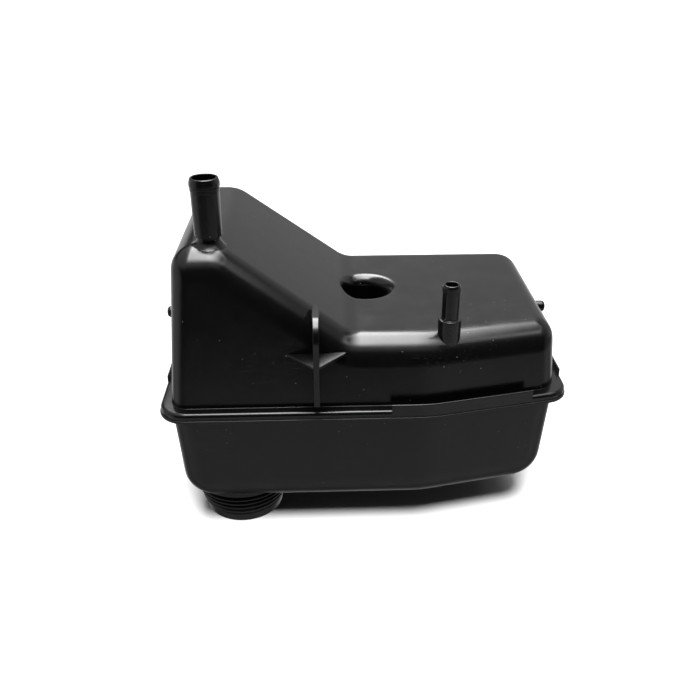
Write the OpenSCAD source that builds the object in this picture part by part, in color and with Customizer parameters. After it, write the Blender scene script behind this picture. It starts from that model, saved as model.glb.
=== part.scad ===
// Coolant expansion tank: two moulded half shells welded at a flange, pictured upside down, so it
// stands on its filler neck. Origin at the centre of the neck's mouth, +Z up, +X towards the low end,
// +Y to the rear. All sizes in millimetres.

/* [Plan at the weld plane] */
// Length of the upper shell, wall to wall
body_len = 285.2; // [250:0.1:330]
// Depth of the upper shell, front wall to rear wall
body_depth = 184.7; // [160:0.1:220]
// Distance from the neck's axis to the left wall
neck_to_left = 42.6; // [41:0.1:60]
// Distance from the neck's axis to the front wall
neck_to_front = 57.3; // [48:0.1:80]
// Vertical corner radius of the upper shell at the front left
upper_front_left = 12; // [8:0.5:18]
// Vertical corner radius of the upper shell at the front right
upper_front_right = 17; // [10:0.5:26]
// Vertical corner radius of the upper shell at both rear corners
upper_rear = 21; // [12:0.5:23]
// Vertical corner radius of the lower shell at the front left
lower_front_left = 16; // [12:0.5:24]
// Vertical corner radius of the lower shell at the front right
lower_front_right = 18; // [12:0.5:26]
// Vertical corner radius of the lower shell at both rear corners
lower_rear = 22; // [12:0.5:30]
// Distance from the left wall to the bend in the front wall
bend_from_left = 186.4; // [170:0.1:205]
// Angle by which the front wall turns back at the bend
bend_angle = 12.2; // [6:0.1:16]
// Radius of the bend in the front wall
bend_radius = 90; // [60:1:120]

/* [Upper shell] */
// Height of the tall end above the weld plane
tall_rise = 119; // [100:0.5:130]
// Height of the deck above the weld plane
deck_rise = 54.6; // [45:0.1:65]
// Distance from the left wall to the edge where the slope starts
slope_from_left = 42.3; // [41:0.1:50]
// Angle of the slope below the horizontal
slope_angle = 36.1; // [32:0.1:41]
// Radius over the top of the slope
crest_radius = 25.7; // [18:0.1:29]
// Radius at the foot of the slope
foot_radius = 21.8; // [12:0.1:30]
// Fillet between the front wall and the top
front_fillet = 21; // [16:0.1:23]
// Fillet between the other walls and the top
top_fillet = 14.4; // [9:0.1:15.5]
// Corner radius of the flat top faces
top_corner = 3; // [2.5:0.1:6]
// Draft of the upper side walls
upper_draft = 4.5; // [2:0.1:5]

/* [Lower shell] */
// Depth of the lower shell below the weld plane
bowl_depth = 89; // [75:0.5:110]
// Fillet between the side walls and the underside
bottom_fillet = 31.5; // [20:0.5:34]
// Draft of the lower side walls
lower_draft = 3; // [1.5:0.1:5]
// Corner radius of the flat underside
floor_corner = 8; // [7:0.5:14]
// Distance by which the lower wall stands outside the upper wall
lower_step = 0.8; // [0.2:0.1:1.5]

/* [Walls and weld flange] */
// Thickness of every shell wall
wall = 3; // [2:0.1:4]
// Width of the flange outside the upper wall
flange_w = 7.9; // [6:0.1:11]
// Thickness of the upper flange
upper_flange_t = 5.2; // [3:0.1:8]
// Thickness of the lower flange
lower_flange_t = 2.3; // [1.5:0.1:6]
// Corner radius of the flange at the front left
flange_corner_left = 20; // [14:0.5:26]
// Corner radius of the flange at the front right
flange_corner_right = 19; // [14:0.5:26]
// Corner radius of the flange at the rear
flange_corner_rear = 27; // [16:0.5:34]

/* [Raised lips on the flange] */
// Height of the front tongue above the flange
tongue_h = 5; // [3:0.1:8]
// Thickness of the tongue and the end lips
tongue_t = 1.8; // [1.2:0.1:3]
// Distance from the left wall to the start of the tongue
tongue_from_left = 159.3; // [140:0.1:180]
// Length of the tongue along the body
tongue_len = 105; // [80:1:115]
// Height of the end lips above the flange
end_lip_h = 4; // [2:0.1:7]
// Length of the end lips
end_lip_len = 100; // [60:1:120]
// Distance from the front wall to the middle of the end lips
end_lip_from_front = 92.6; // [85:0.1:100]

/* [Filler neck] */
// Height of the neck's mouth below the underside of the shell
neck_h = 30.4; // [24:0.1:40]
// Bore diameter of the neck
neck_bore_d = 54; // [44:0.1:57]
// Outer diameter of the plain band at the neck's mouth
neck_rim_d = 62; // [60:0.1:63]
// Outer diameter of the plain band where the thread starts
neck_band_d = 65; // [63.5:0.1:66]
// Height of the plain band
neck_band_h = 7.5; // [5:0.1:10]
// Diameter of the thread's root next to the band
neck_root_d = 64; // [62:0.1:65]
// Diameter of the thread's root next to the shell
neck_shoulder_d = 72; // [68:0.1:74]
// Diameter of the round pad that carries the neck, flush with the underside
pad_d = 82; // [78:0.1:84]
// Distance by which the pad's left edge stays inside the foot of the lower wall
pad_inset = 4; // [1:0.5:6]

/* [Large hose spigot] */
// Distance from the left wall to the spigot's axis
large_from_left = 34.2; // [32:0.1:40]
// Distance from the front wall to the spigot's axis
large_from_front = 32.6; // [31:0.1:60]
// Height of the spigot above the tall end
large_h = 45.8; // [30:0.1:60]
// Outer diameter of the hose bead
large_bead_d = 20.9; // [20.5:0.1:24]
// Outer diameter of the tube next to the bead
large_tube_d = 19.9; // [19:0.1:20.4]
// Outer diameter of the tube at its lower end
large_foot_d = 19; // [18:0.1:20]
// Outer diameter of the waist between the tube and the shell
large_waist_d = 16.4; // [15.5:0.1:18]
// Height of the waist
large_waist_h = 5.9; // [4.5:0.1:8]
// Bore diameter of the tube
large_bore_d = 16; // [14:0.1:17]
// Bore diameter of the waist
large_waist_bore_d = 12; // [9:0.1:13]
// Height of the hose bead
large_bead_h = 6.2; // [4:0.1:8]
// Radius of the flare from the waist to the shell
large_flare = 4; // [2:0.1:4.4]

/* [Small hose spigot] */
// Distance from the left wall to the spigot's axis
small_from_left = 201; // [190:0.1:215]
// Distance from the front wall to the spigot's axis
small_from_front = 19; // [17:0.1:60]
// Height of the spigot's mouth above the deck
small_h = 36.9; // [25:0.1:50]
// Outer diameter of the boss under the tube
small_boss_d = 16.4; // [14.5:0.1:20]
// Height of the boss above the deck
small_boss_h = 10.6; // [5:0.1:14]
// Outer diameter of the hose bead
small_bead_d = 12.9; // [12.5:0.1:14]
// Outer diameter of the tube
small_tube_d = 12.1; // [11:0.1:12.4]
// Bore diameter of the tube
small_bore_d = 8.6; // [6:0.1:9.2]
// Height of the hose bead
small_bead_h = 5.3; // [2.5:0.1:7]

/* [Well] */
// Distance from the left wall to the well's axis
well_from_left = 144.9; // [138:0.1:150]
// Distance from the front wall to the well's axis
well_from_front = 102.2; // [80:0.1:120]
// Diameter of the well
well_d = 36; // [30:0.1:44]
// Depth of the well below the deck
well_depth = 48; // [30:0.5:49]
// Rounding of the well's mouth
well_lip = 9; // [3:0.1:10]

/* [Front rib and gusset] */
// Distance from the left wall to the middle of the rib
rib_from_left = 106.1; // [90:0.1:115]
// Distance by which the rib stands out in front of the wall at the weld plane
rib_out = 15.1; // [10:0.1:22]
// Thickness of the rib at its front edge
rib_t = 4; // [3:0.1:6]
// Thickness of the rib where it meets the wall
rib_root_t = 5; // [4:0.1:7]
// Height of the rib's top above the weld plane
rib_top = 77.3; // [68:0.1:84]
// Height of the rib's foot above the weld plane
rib_foot = 14.1; // [10:0.1:25]
// Radius of the rib's upper front corner
rib_corner = 14.5; // [6:0.1:18]
// Depth of the rib's flat top, behind its rounded corner
rib_top_len = 20; // [12:0.1:28]
// Height of the gusset's top above the weld plane, at the wall
gusset_top = 47.4; // [35:0.1:60]
// Angle by which the gusset slopes down towards the rib's front
gusset_slope = 8; // [0:0.5:14]
// Thickness of the gusset
gusset_t = 2.3; // [1.5:0.1:4]
// Width of the gusset where it meets the wall
gusset_w = 41.4; // [30:0.1:60]

/* [End pegs] */
// Diameter of the locating peg on each end wall
peg_d = 9; // [6:0.1:12]
// Height of the pegs above the weld plane
peg_rise = 39.5; // [30:0.1:46]
// Distance from the front wall to the pegs
peg_from_front = 92; // [70:0.1:110]
// Distance by which the left peg stands out beyond the wall at the weld plane
peg_left_out = 12.2; // [8:0.1:16]
// Distance by which the right peg stands out beyond the wall at the weld plane
peg_right_out = 5.5; // [3:0.1:10]

/* [Hidden] */
$fn = 64;

// Segments of a corner arc, of each slope arc, of the bend and of a fillet
corner_seg = 6;
slope_seg = 4;
bend_seg = 3;
fillet_seg = 6;
// Growth of a corner's radius per millimetre away from the weld plane
corner_growth = 0.02;
// Overlap that makes a cut or a joint between solids clean
lap = 1.5;

left_x = -neck_to_left;
right_x = left_x + body_len;
front_y = -neck_to_front;
rear_y = front_y + body_depth;
bend_x = left_x + bend_from_left;
floor_z = neck_h;
weld_z = floor_z + bowl_depth;
deck_z = weld_z + deck_rise;
tall_z = weld_z + tall_rise;
slope_x = left_x + slope_from_left;
slope_end_x = slope_x + (tall_z - deck_z) / tan(slope_angle);
crest_x = slope_x - crest_radius * tan(slope_angle / 2);
foot_x = slope_end_x + foot_radius * tan(slope_angle / 2);
upper_corners = [upper_front_left, upper_front_right, upper_rear, upper_rear];
lower_corners = [lower_front_left, lower_front_right, lower_rear, lower_rear];
flange_corners = [flange_corner_left, flange_corner_right, flange_corner_rear, flange_corner_rear];

// Points of an arc in plan
function arc(c, r, a0, a1, n) = [for (k = [0:n]) c + r * [cos(a0 + (a1 - a0) * k / n), sin(a0 + (a1 - a0) * k / n)]];

function lift(pts, z) = [for (p = pts) [p[0], p[1], z]];

// The slope seen from the side, moved inwards by o: x and height of each station
function slope_line(o) = concat(
    [for (k = [0:slope_seg]) let (a = slope_angle * k / slope_seg)
        [crest_x + (crest_radius - o) * sin(a), tall_z - crest_radius + (crest_radius - o) * cos(a)]],
    [for (k = [0:slope_seg]) let (a = slope_angle * (1 - k / slope_seg))
        [foot_x - (foot_radius + o) * sin(a), deck_z + foot_radius - (foot_radius + o) * cos(a)]]);

// Centres of the four corner arcs, for a corner whose arc centre lies q inside the end or rear wall
// and f inside the front wall
function centre_fl(q, f) = [left_x + q, front_y + f];
function centre_fr(q, f) = [right_x - q,
    front_y + (f + sin(bend_angle) * (right_x - q - bend_x)) / cos(bend_angle)];
function centre_rr(q) = [right_x - q, rear_y - q];
function centre_rl(q) = [left_x + q, rear_y - q];

// The bend of the front wall, moved inwards by e
function bend(e) = arc([bend_x - bend_radius * tan(bend_angle / 2), front_y + bend_radius],
    bend_radius - e, -90, bend_angle - 90, bend_seg);

// One closed ring of the shell. st holds x, inset from the front, inset from the rear and height of
// each station; el, zl and er, zr are insets (from the end and rear walls, and from the front wall)
// and height at the left and the right end; r holds the radii front left, front right, rear right
// and rear left
function ring(st, el, zl, er, zr, r) = concat(
    lift(arc(centre_fl(el[0] + r[0], el[1] + r[0]), r[0], 180, 270, corner_seg), zl),
    [for (s = st) [s[0], front_y + s[1], s[3]]],
    lift(bend(er[1]), zr),
    lift(arc(centre_fr(er[0] + r[1], er[1] + r[1]), r[1], bend_angle - 90, 0, corner_seg), zr),
    lift(arc(centre_rr(er[0] + r[2]), r[2], 0, 90, corner_seg), zr),
    let (b = bend(er[1])) [for (k = [bend_seg:-1:0]) [b[k][0], rear_y - er[0], zr]],
    [for (k = [len(st) - 1:-1:0]) [st[k][0], rear_y - st[k][2], st[k][3]]],
    lift(arc(centre_rl(el[0] + r[3]), r[3], 90, 180, corner_seg), zl));

// Upper shell skin, moved inwards by o. A ring lies drop below the top all round, and a fillet of
// radius r stands there at angle a over the wall, or has ended in the wall
function upper_drop(a, o) = o + (front_fillet - o) * (1 - sin(a));
function fillet_angle(drop, r, o) = max(upper_draft, asin(1 - min(drop - o, r - o) / (r - o)));
function upper_inset(z, a, r, o) = o / cos(upper_draft) + (a > upper_draft
    ? tan(upper_draft) * (z - weld_z - (r - o) * sin(a)) + (r - o) * (1 / cos(upper_draft) - cos(a))
    : tan(upper_draft) * (z - weld_z));
function upper_radius(c, z, a, o) = let (
        w = c - o + corner_growth * (z - upper_drop(upper_draft, o) - weld_z))
    w - (w - top_corner + o / 2) * (1 - cos(a) / cos(upper_draft));
function upper_ring(front_a, o) = let (
        d = upper_drop(front_a, o),
        a = fillet_angle(d, top_fillet, o),
        tall = tall_z - d,
        deck = deck_z - d)
    ring([for (s = slope_line(d)) [s[0], upper_inset(s[1], front_a, front_fillet, o),
            upper_inset(s[1], a, top_fillet, o), s[1]]],
        [upper_inset(tall, a, top_fillet, o), upper_inset(tall, front_a, front_fillet, o)], tall,
        [upper_inset(deck, a, top_fillet, o), upper_inset(deck, front_a, front_fillet, o)], deck,
        [upper_radius(upper_corners[0], tall_z, front_a, o),
         upper_radius(upper_corners[1], deck_z, front_a, o),
         upper_radius(upper_corners[2], deck_z, a, o), upper_radius(upper_corners[3], tall_z, a, o)]);
function upper_base(h, o) = let (e = o / cos(upper_draft) + tan(upper_draft) * h) ring(
    [for (s = slope_line(upper_drop(upper_draft, o))) [s[0], e, e, weld_z + h]],
    [e, e], weld_z + h, [e, e], weld_z + h, [for (c = upper_corners) c - o + corner_growth * h]);
function upper_skin(h, o) = concat([upper_base(h, o)],
    [for (k = [0:fillet_seg]) upper_ring(upper_draft + (90 - upper_draft) * k / fillet_seg, o)]);

// Lower shell skin, moved inwards by o. Angle a runs over the fillet from the wall to the floor
lower_centre = bowl_depth - bottom_fillet;
function lower_inset(a, o) = o / cos(lower_draft) - lower_step + tan(lower_draft) * lower_centre
    + (bottom_fillet - o) * (1 / cos(lower_draft) - cos(a));
function lower_wall_radius(c, h, o) = c + lower_step - o + corner_growth * h;
function lower_radius(c, a, o) = let (
        w = lower_wall_radius(c, lower_centre + (bottom_fillet - o) * sin(lower_draft), o))
    w - (w - floor_corner + o / 2) * (1 - cos(a) / cos(lower_draft));
function flat_ring(e, z, r) = ring([], [e, e], z, [e, e], z, r);
function lower_ring(a, o) = flat_ring(lower_inset(a, o),
    weld_z - lower_centre - (bottom_fillet - o) * sin(a), [for (c = lower_corners) lower_radius(c, a, o)]);
function lower_base(h, o) = flat_ring(o / cos(lower_draft) - lower_step + tan(lower_draft) * h,
    weld_z - h, [for (c = lower_corners) lower_wall_radius(c, h, o)]);
function lower_skin(h, o) = concat(
    [for (k = [0:fillet_seg]) lower_ring(90 - (90 - lower_draft) * k / fillet_seg, o)],
    [lower_base(h, o)]);

// Solid through a stack of rings, closed below by a flat face and above by a strip of faces
module loft(rings) {
    n = len(rings[0]);
    m = len(rings);
    polyhedron(
        points = [for (r = rings) each r],
        faces = concat(
            [[for (i = [0:n - 1]) i]],
            [for (j = [0:m - 2]) for (i = [0:n - 1]) let (k = (i + 1) % n)
                [j * n + i, (j + 1) * n + i, (j + 1) * n + k, j * n + k]],
            [for (i = [0:n / 2 - 2]) let (t = (m - 1) * n)
                [t + i, t + n - 1 - i, t + n - 2 - i, t + i + 1]]));
}

// Plan outline of the flange, moved outwards by out, with corner radii less cut
module flange_outline(out, cut) {
    polygon([for (p = flat_ring(-out, 0, [for (c = flange_corners) c - cut])) [p[0], p[1]]]);
}

// Thin band along the flange's outer edge
module edge_band() {
    difference() {
        flange_outline(flange_w, 0);
        flange_outline(flange_w - tongue_t, tongue_t);
    }
}

// Raised lip: the part of the edge band inside a rectangle in plan
module edge_lip(corner, size, h) {
    translate([0, 0, weld_z + lap]) linear_extrude(height = upper_flange_t - lap + h)
        intersection() {
            edge_band();
            translate(corner) square(size);
        }
}

// Quarter round of a turned profile, centre c, radius r
function quarter(c, r, a0, a1) = arc(c, r, a0, a1, 5);

// Hose tube with a bead at its mouth: turned outline from z0 up to z1
module hose_tube(z0, z1, foot_d, tube_d, bead_d, bead_h, mouth_r) {
    round_out = (bead_d - mouth_r * 2) / 2;
    rise = min(round_out, bead_h / 3);
    rotate_extrude() polygon(concat(
        [[0, z0], [foot_d / 2, z0], [tube_d / 2, z1 - bead_h]],
        [[bead_d / 2, z1 - bead_h + (bead_d - tube_d)], [bead_d / 2, z1 - rise]],
        [for (k = [1:5]) [bead_d / 2 - rise * (1 - cos(k * 18)), z1 - rise * (1 - sin(k * 18))]],
        [[0, z1]]));
}

// Rounded mouth of a bore, cut from the top at height z
module mouth_cut(z, bore_d, r) {
    rotate_extrude() polygon(concat(
        [[0, z - r], [bore_d / 2, z - r]],
        [for (k = [1:5]) [bore_d / 2 + r * (1 - cos(k * 18)), z - r * (1 - sin(k * 18))]],
        [[bore_d / 2 + r, z + lap], [0, z + lap]]));
}

large_at = [left_x + large_from_left, front_y + large_from_front, 0];
small_at = [left_x + small_from_left, front_y + small_from_front, 0];
well_at = [left_x + well_from_left, front_y + well_from_front, 0];
large_top = tall_z + large_h;
small_top = deck_z + small_h;
// Depth to which turned pieces run down into the shell before the inside is cut away
root = front_fillet + wall;

module large_spigot() {
    translate(large_at) {
        translate([0, 0, tall_z - root]) cylinder(h = root + large_waist_h + lap, d = large_waist_d);
        rotate_extrude() polygon(concat([[0, tall_z - lap]],
            [for (k = [0:4]) [large_waist_d / 2 + large_flare * (1 - sin(k * 22.5)),
                tall_z - lap + large_flare * (1 - cos(k * 22.5))]],
            [[0, tall_z - lap + large_flare]]));
        hose_tube(tall_z + large_waist_h, large_top, large_foot_d, large_tube_d, large_bead_d,
            large_bead_h, (large_bore_d + large_bead_d) / 4);
    }
}

module large_bore() {
    translate(large_at) {
        translate([0, 0, tall_z - root]) cylinder(h = root + large_h, d = large_waist_bore_d);
        translate([0, 0, tall_z + large_waist_h + lap])
            cylinder(h = large_h - large_waist_h, d = large_bore_d);
        mouth_cut(large_top, large_bore_d, (large_bead_d - large_bore_d) / 5);
    }
}

module small_spigot() {
    translate(small_at) {
        translate([0, 0, deck_z - root]) cylinder(h = root + small_boss_h, d = small_boss_d);
        hose_tube(deck_z + small_boss_h - lap, small_top, small_tube_d, small_tube_d, small_bead_d,
            small_bead_h, (small_bore_d + small_bead_d) / 4);
    }
}

module small_bore() {
    translate(small_at) {
        translate([0, 0, deck_z - root]) cylinder(h = root + small_h + lap, d = small_bore_d);
        mouth_cut(small_top, small_bore_d, (small_bead_d - small_bore_d) / 6);
    }
}

// Body of the well: a cup that hangs from the deck
module well_cup() {
    translate(well_at + [0, 0, deck_z - well_depth - wall])
        cylinder(h = well_depth, d = well_d + 2 * wall);
}

// Hollow of the well with its rounded mouth, opening on above the deck where the slope rises
module well_cut() {
    translate(well_at) {
        translate([0, 0, deck_z - well_depth]) cylinder(h = well_depth + lap, d = well_d);
        rotate_extrude() polygon(concat(
            [[0, deck_z - well_lip], [well_d / 2, deck_z - well_lip]],
            [for (k = [1:5]) [well_d / 2 + well_lip * (1 - cos(k * 17)),
                deck_z - well_lip * (1 - sin(k * 17))]],
            [[well_d / 2 + well_lip * 1.2, deck_z + foot_radius], [0, deck_z + foot_radius]]));
    }
}

// Front rib: side outline and plan outline crossed, so that it tapers towards its front edge
rib_x = left_x + rib_from_left;
rib_y = front_y - rib_out;
// Front face of the wall at the gusset's height
gusset_wall_y = front_y + gusset_top * tan(upper_draft);

module front_rib() {
    back_y = rib_y + rib_corner + rib_top_len;
    z1 = weld_z + rib_top;
    z0 = weld_z + rib_foot;
    intersection() {
        translate([rib_x, 0, 0]) rotate([90, 0, 90])
            linear_extrude(height = rib_root_t * 2, center = true)
            polygon(concat(
                [[front_y + wall, z0], [rib_y, z0]],
                [for (p = quarter([rib_y + rib_corner, z1 - rib_corner], rib_corner, 180, 90)) p],
                [[back_y, z1], [back_y + wall, z1 - rib_corner], [back_y, z1 - front_fillet]]));
        translate([rib_x, 0, z0 - lap]) linear_extrude(height = rib_top + lap)
            polygon([[-rib_t / 2, rib_y], [rib_t / 2, rib_y], [rib_root_t / 2, gusset_wall_y],
                [rib_root_t / 2, back_y + wall], [-rib_root_t / 2, back_y + wall],
                [-rib_root_t / 2, gusset_wall_y]]);
    }
}

module gusset() {
    deep = gusset_wall_y - rib_y;
    translate([rib_x, gusset_wall_y, weld_z + gusset_top]) rotate([gusset_slope, 0, 0])
        translate([0, 0, -gusset_t]) linear_extrude(height = gusset_t)
        polygon([[-rib_t / 2, -deep], [rib_t / 2, -deep], [gusset_w / 2, 0],
            [gusset_w / 2, wall / 2], [-gusset_w / 2, wall / 2], [-gusset_w / 2, 0]]);
}

// Peg with a rounded end, pointing along +X from the origin
module peg(len) {
    r = peg_d / 2;
    e = r * 0.6;
    rotate([0, 90, 0]) rotate_extrude() polygon(concat([[0, 0], [r, 0], [r, len - e]],
        [for (k = [1:5]) [r - e * (1 - cos(k * 18)), len - e * (1 - sin(k * 18))]], [[0, len]]));
}

// How far the upper wall has leaned in at the height of the pegs
peg_lean = peg_rise * tan(upper_draft);

module end_pegs() {
    y = front_y + peg_from_front;
    z = weld_z + peg_rise;
    translate([left_x + peg_lean + wall / 2, y, z]) mirror([1, 0, 0])
        peg(peg_left_out + peg_lean + wall / 2);
    translate([right_x - peg_lean - wall / 2, y, z]) peg(peg_right_out + peg_lean + wall / 2);
}

module upper_shell() {
    color("#1c1c1e") difference() {
        union() {
            difference() {
                union() {
                    loft(upper_skin(0, 0));
                    translate([0, 0, weld_z]) linear_extrude(height = upper_flange_t)
                        flange_outline(flange_w, 0);
                    edge_lip([left_x + tongue_from_left, front_y - flange_w - lap],
                        [tongue_len, body_depth / 2], tongue_h);
                    edge_lip([left_x - flange_w - lap, front_y + end_lip_from_front - end_lip_len / 2],
                        [flange_w + lap, end_lip_len], end_lip_h);
                    edge_lip([right_x, front_y + end_lip_from_front - end_lip_len / 2],
                        [flange_w + lap, end_lip_len], end_lip_h);
                    front_rib();
                    gusset();
                    large_spigot();
                    small_spigot();
                    end_pegs();
                }
                loft(upper_skin(-lap, wall));
            }
            well_cup();
        }
        well_cut();
        large_bore();
        small_bore();
    }
}

// Round pad that carries the neck, held inside the walls. Moved inwards by o it is its own hollow
module neck_pad(o) {
    edge = o / cos(lower_draft) - lower_step + tan(lower_draft) * lower_centre + pad_inset;
    translate([0, 0, floor_z + o]) intersection() {
        cylinder(h = bottom_fillet, d = pad_d - 2 * o);
        linear_extrude(height = bottom_fillet) polygon([for (p = flat_ring(edge, 0,
            [for (c = lower_corners) lower_wall_radius(c, lower_centre, o)])) [p[0], p[1]]]);
    }
}

// Outside of the neck: plain band at the mouth, then the widening root of the thread
module neck_outside() {
    rotate_extrude() polygon([[0, 0], [neck_rim_d / 2, 0], [neck_band_d / 2, neck_band_h],
        [neck_root_d / 2, neck_band_h + 1], [neck_shoulder_d / 2, neck_h - 1],
        [neck_shoulder_d / 2, neck_h + lap], [0, neck_h + lap]]);
}

module lower_shell() {
    color("#232325") difference() {
        union() {
            loft(lower_skin(0, 0));
            neck_pad(0);
            translate([0, 0, weld_z - lower_flange_t]) linear_extrude(height = lower_flange_t)
                flange_outline(flange_w + lower_step, -lower_step);
            neck_outside();
        }
        loft(lower_skin(-lap, wall));
        neck_pad(wall);
        translate([0, 0, -lap]) cylinder(h = neck_h + wall + 2 * lap, d = neck_bore_d);
    }
}

lower_shell();
upper_shell();
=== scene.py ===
import math
import bmesh
import bpy
import numpy as np
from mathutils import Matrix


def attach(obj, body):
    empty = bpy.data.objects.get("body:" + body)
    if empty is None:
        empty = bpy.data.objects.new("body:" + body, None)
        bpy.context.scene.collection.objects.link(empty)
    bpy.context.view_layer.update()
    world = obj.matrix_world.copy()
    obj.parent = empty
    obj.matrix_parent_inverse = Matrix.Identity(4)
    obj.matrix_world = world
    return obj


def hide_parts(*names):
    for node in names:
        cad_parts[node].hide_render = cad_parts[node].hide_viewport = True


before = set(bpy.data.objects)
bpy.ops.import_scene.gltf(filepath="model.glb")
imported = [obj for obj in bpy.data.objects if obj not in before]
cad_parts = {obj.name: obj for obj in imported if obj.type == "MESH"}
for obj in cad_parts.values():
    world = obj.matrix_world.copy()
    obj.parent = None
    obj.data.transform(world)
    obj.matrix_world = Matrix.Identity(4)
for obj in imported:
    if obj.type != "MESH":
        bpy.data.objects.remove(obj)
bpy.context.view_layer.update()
MM = 0.001
SCENE = bpy.context.scene
COLLECTION = SCENE.collection

# Sizes in millimetres, with the values of the part's source where no comment says otherwise. Small
# roundings are this script's own. Angles are in radians.
BODY_LEN, BODY_DEPTH = 285.2, 184.7
LEFT, FRONT = -42.6, -57.3
RIGHT, REAR = LEFT + BODY_LEN, FRONT + BODY_DEPTH
NECK_H, BOWL_DEPTH, TALL_RISE, DECK_RISE = 30.4, 89, 119, 54.6
WELD = NECK_H + BOWL_DEPTH
TALL, DECK = WELD + TALL_RISE, WELD + DECK_RISE
WALL = 3

# Plan: corners run from the front left one round by the front right one
UPPER_CORNERS = (12, 17, 21, 21)
LOWER_CORNERS = (16, 18, 22, 22)
FLANGE_CORNERS = (20, 19, 27, 27)
TOP_CORNER, FLOOR_CORNER, MIN_CORNER = 3, 8, 0.5
GROWTH = 0.02
BEND_X, BEND_ANGLE, BEND_RADIUS = LEFT + 186.4, math.radians(12.2), 90
BEND_START = BEND_X - BEND_RADIUS * math.tan(BEND_ANGLE / 2)

# Side view: tall end, crest, slope, foot and deck
UPPER_DRAFT, LOWER_DRAFT = math.radians(4.5), math.radians(3)
SLOPE, CREST_R, FOOT_R = math.radians(36.1), 25.7, 21.8
SLOPE_X = LEFT + 42.3
SLOPE_END = SLOPE_X + (TALL - DECK) / math.tan(SLOPE)
CREST_X = SLOPE_X - CREST_R * math.tan(SLOPE / 2)
FOOT_X = SLOPE_END + FOOT_R * math.tan(SLOPE / 2)
FRONT_FILLET, TOP_FILLET, BOTTOM_FILLET = 21, 14.4, 31.5
LOWER_STEP = 0.8
LOWER_CENTRE = BOWL_DEPTH - BOTTOM_FILLET
TOP_STRIP = 1.5

# Flanges with their lips. The two skins stay WELD_GAP apart at the weld.
FLANGE_W, UPPER_FLANGE_T, LOWER_FLANGE_T = 7.9, 5.2, 2.3
UPPER_EDGE, UPPER_ROOT = 2.6, 0.3
LOWER_EDGE, LOWER_ROOT = 0.7, 1.4
WELD_EDGE, WELD_GAP = 0.5, 0.02
TONGUE_X, TONGUE_LEN, TONGUE_H = LEFT + 159.3, 105, 5
END_LIP_Y, END_LIP_LEN, END_LIP_H = FRONT + 92.6, 100, 4
LIP_T, LIP_EDGE, LIP_FOOT, LIP_INSET = 1.8, 0.7, 1.5, 0.02

# Spigots: radii of the large one from its waist up to its mouth, then those of the small one. The large
# one's flare, taper, collar and groove and both lips are this script's own, for the likeness.
LARGE, LARGE_H = (LEFT + 34.2, FRONT + 32.6), 45.8
LARGE_WAIST, LARGE_WAIST_H = 8.2, 5.9
LARGE_FOOT, LARGE_TUBE, LARGE_COLLAR, LARGE_GROOVE, LARGE_BEAD, LARGE_LIP = 9.65, 9.8, 10.1, 9.75, 10.45, 9.45
LARGE_BORE, LARGE_WAIST_BORE, LARGE_MOUTH = 8, 6, 4
FLARE_REACH, FLARE_RISE, FLARE_SUNK = 6.4, 5.0, 0.4
SMALL, SMALL_H = (LEFT + 201, FRONT + 19), 36.9
SMALL_BOSS, SMALL_BOSS_H, SMALL_BOSS_ROOT = 8.2, 10.6, 17.4
SMALL_TUBE, SMALL_BEAD, SMALL_LIP = 6.05, 6.45, 5.6
SMALL_BORE, SMALL_MOUTH = 4.3, 3

# Well, rib, gusset and pegs. The gusset is 0.6 mm lower and less steep than in the part's source, and
# the right peg is 1.1 mm shorter.
WELL = (LEFT + 144.9, FRONT + 102.2)
WELL_R, WELL_DEPTH, WELL_LIP = 18, 48, 9
RIB_X, RIB_Y = LEFT + 106.1, FRONT - 15.1
RIB_FOOT, RIB_TOP, RIB_CORNER, RIB_TOP_LEN = WELD + 14.1, WELD + 77.3, 14.5, 20
RIB_T, RIB_ROOT_T, RIB_EDGE = 4.0, 5.0, 0.55
GUSSET_TOP, GUSSET_LOWER = 47.4, 0.6
GUSSET_Y, GUSSET_Z = FRONT + GUSSET_TOP * math.tan(UPPER_DRAFT), WELD + GUSSET_TOP - GUSSET_LOWER
GUSSET_SLOPE, GUSSET_T, GUSSET_W, GUSSET_EDGE = math.radians(3), 2.3, 41.4, 0.4
PEG_Y, PEG_Z, PEG_R, PEG_EDGE = FRONT + 92, WELD + 39.5, 4.5, 2.7
PEG_LEFT_OUT, PEG_RIGHT_OUT, PEG_SUNK = 12.2, 4.4, 4.6

# Neck, and the thread on it that only this script has
NECK_BORE, NECK_RIM, NECK_BAND, NECK_BAND_H = 27, 31, 32.5, 7.5
THREAD_START, THREAD_ROOT, THREAD_SHOULDER = 8.2, 32.0, 4.0
THREAD_LOW, THREAD_HIGH, THREAD_END = 8.4, 29.0, 28.3
THREAD_FIRST, THREAD_PITCH, THREAD_TALL, THREAD_GROWTH, THREAD_GROWN = 11.0, 4.8, 1.5, 1.6, 25.3
THREAD_WIDTH, THREAD_SHARP, THREAD_FADE_IN, THREAD_FADE_OUT = 0.46, 16, 1.2, 1.4
NECK_SUNK, PAD_R, PAD_INSET, PAD_EDGE = 1.5, 41, 4, 1.6

# Numbers of steps
CORNER_N, SLOPE_N, BEND_N, FILLET_N = 16, 14, 8, 16
TURN, PEG_TURN, WIDE_TURN, NECK_TURN = 96, 48, 128, 192
WALL_STEPS = (0.03, 0.25, 0.5, 0.75, 0.97)


# Meshes

def edited(mesh, change):
    """Runs a change on a mesh through bmesh."""
    bm = bmesh.new()
    bm.from_mesh(mesh)
    change(bm)
    bm.to_mesh(mesh)
    bm.free()


def make(name, points, faces):
    """An object from points in millimetres."""
    mesh = bpy.data.meshes.new(name)
    mesh.from_pydata([tuple(MM * c for c in p) for p in points], [], faces)
    edited(mesh, lambda bm: bmesh.ops.recalc_face_normals(bm, faces=bm.faces))
    piece = bpy.data.objects.new(name, mesh)
    COLLECTION.objects.link(piece)
    return piece


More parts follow.
